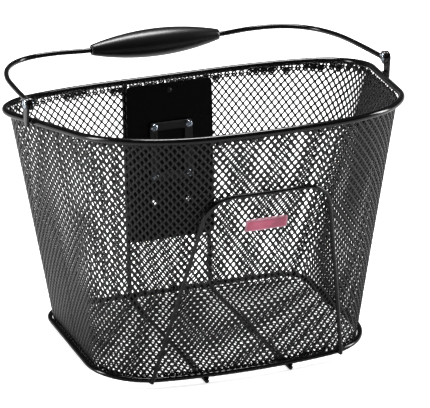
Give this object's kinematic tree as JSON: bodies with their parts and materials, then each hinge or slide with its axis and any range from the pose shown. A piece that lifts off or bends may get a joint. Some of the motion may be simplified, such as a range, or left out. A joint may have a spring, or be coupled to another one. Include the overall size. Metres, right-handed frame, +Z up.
{
  "type": "handlebar basket",
  "caption": "Wire-mesh handlebar basket with a raised rim, rear quick-release plate, front wire loop and a swinging carrying handle with a grip.",
  "frame": {"origin": "under the middle of the whole object's box, on the surface that the basket stands on", "axes": "+X across the basket to the right when facing its back wall from the front, +Y from the front to the handlebar side, +Z up"},
  "size_m": [0.3796, 0.3416, 0.2776],
  "materials": {
    "black_coat": "glossy black powder coat on steel wire and expanded metal",
    "dark_steel": "satin dark grey coated steel",
    "zinc": "bright zinc plate",
    "black_plastic": "fine-textured black plastic",
    "grip_plastic": "satin black moulded plastic",
    "badge_plastic": "glossy rose plastic with a lighter rolled edge"
  },
  "bodies": {
    "basket": {"top_rim": "black_coat", "bottom_ring": "black_coat", "wall_mesh": "black_coat", "floor_mesh": "black_coat", "back_rod_left": "black_coat", "back_rod_right": "black_coat", "front_wire_loop": "black_coat", "back_plate": "black_coat", "plate_rivet": "dark_steel", "counter_frame": "dark_steel", "screw_upper_left": "zinc", "screw_upper_right": "zinc", "screw_lower_left": "zinc", "screw_lower_right": "zinc", "nut_upper_left": "zinc", "nut_upper_right": "zinc", "nut_lower_left": "zinc", "nut_lower_right": "zinc", "adapter_plate": "black_plastic", "badge": "badge_plastic", "badge_clip": "dark_steel", "handle_bracket_left": "black_coat", "handle_bracket_right": "black_coat", "pivot_rivet_left": "zinc", "pivot_rivet_right": "zinc"},
    "bail": {"handle_bail": "black_coat"},
    "grip": {"handle_grip": "grip_plastic"}
  },
  "joints": [
    {"name": "bail_hinge", "type": "hinge", "parent": "basket", "child": "bail", "pos_m": [0, 0.00714, 0.26573], "axis": [1, 0, 0], "range_deg": [-11, 177]},
    {"name": "grip_spin", "type": "hinge", "parent": "bail", "child": "grip", "pos_m": [0, 0.15679, 0.25553], "axis": [1, 0, 0], "continuous": true}
  ]
}
